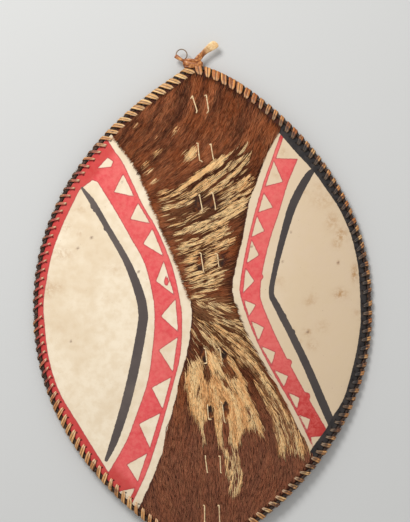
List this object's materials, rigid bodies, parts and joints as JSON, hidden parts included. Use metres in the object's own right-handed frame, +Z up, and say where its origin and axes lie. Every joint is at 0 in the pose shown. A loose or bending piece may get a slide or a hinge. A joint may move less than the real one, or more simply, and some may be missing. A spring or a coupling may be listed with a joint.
{
  "type": "hide shield",
  "caption": "Domed oval hide shield with pointed ends, thong-laced edge, painted side fields, tied-on back stave with bowed hand grip, and a knotted tab at one end.",
  "frame": {"origin": "middle of the shield's outline box, at the level it rests on when it lies on its back", "axes": "+Y towards the knotted point, +X to the right as seen from the painted side, +Z up out of the painted side"},
  "size_m": [0.6404, 0.9618, 0.0636],
  "materials": {
    "painted_hide": "matte raw hide, whitened and painted, hair left on down the middle",
    "dark_roll": "dark hair-on hide",
    "lacing_thong": "dry rawhide thong, slight sheen",
    "tie_thong": "dry pale rawhide thong",
    "stave_wood": "peeled stick, worn satin",
    "grip_thong": "wound thong, polished by the hand",
    "knot_thong": "thick dry thong, slight sheen",
    "loop_gut": "dry twisted gut"
  },
  "bodies": {
    "root": {"hide": "painted_hide", "rim_roll": "dark_roll", "edge_thong_upper_left": "lacing_thong", "edge_thong_lower_left": "lacing_thong", "edge_thong_lower_right": "lacing_thong", "edge_thong_upper_right": "lacing_thong", "tie_1": "tie_thong", "tie_2": "tie_thong", "tie_3": "tie_thong", "tie_4": "tie_thong", "tie_5": "tie_thong", "tie_6": "tie_thong", "tie_7": "tie_thong", "tie_8": "tie_thong", "stave": "stave_wood", "grip_wrap": "grip_thong", "top_knot": "knot_thong", "hanging_loop": "loop_gut"}
  },
  "joints": []
}
